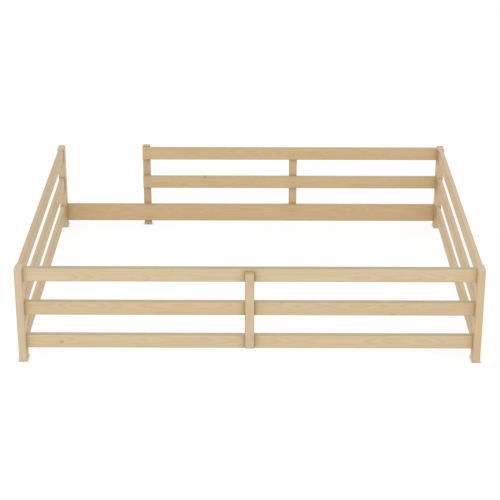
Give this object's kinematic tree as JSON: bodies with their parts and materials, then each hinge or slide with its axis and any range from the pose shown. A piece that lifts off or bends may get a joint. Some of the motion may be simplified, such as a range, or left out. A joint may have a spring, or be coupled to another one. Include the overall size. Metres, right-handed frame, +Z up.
{
  "type": "toddler floor bed",
  "caption": "Low open pine bed frame that fences a mattress on the floor: three rails on the front and ends, a two rail fence and an open way in at the back.",
  "frame": {"origin": "on the floor, under the middle of the bed", "axes": "+X along the bed to the right, +Y from the front side to the rear side with the way in, +Z up"},
  "size_m": [2.11, 1.661, 0.4675],
  "materials": {
    "pine": "clear satin lacquer over fine sanded pine",
    "beech": "plain fluted dowel",
    "zinc_plated_steel": "bright zinc plating"
  },
  "bodies": {
    "root": {"front_left_post": "pine", "front_right_post": "pine", "rear_left_post": "pine", "rear_right_post": "pine", "front_top_rail": "pine", "front_middle_rail": "pine", "front_bottom_rail": "pine", "front_upright": "pine", "left_top_rail": "pine", "left_middle_rail": "pine", "left_bottom_rail": "pine", "right_top_rail": "pine", "right_middle_rail": "pine", "right_bottom_rail": "pine", "rear_bottom_rail": "pine", "fence_top_rail": "pine", "fence_middle_rail": "pine", "fence_end_post": "pine", "rear_upright": "pine", "front_left_bolts": "zinc_plated_steel", "front_left_barrel_nuts": "zinc_plated_steel", "front_left_dowels": "beech", "front_right_bolts": "zinc_plated_steel", "front_right_barrel_nuts": "zinc_plated_steel", "front_right_dowels": "beech", "rear_left_bolts": "zinc_plated_steel", "rear_left_barrel_nuts": "zinc_plated_steel", "rear_left_dowels": "beech", "rear_right_bolts": "zinc_plated_steel", "rear_right_barrel_nuts": "zinc_plated_steel", "rear_right_dowels": "beech", "front_upright_screws": "zinc_plated_steel", "rear_upright_screws": "zinc_plated_steel", "fence_end_post_screws": "zinc_plated_steel"}
  },
  "joints": []
}
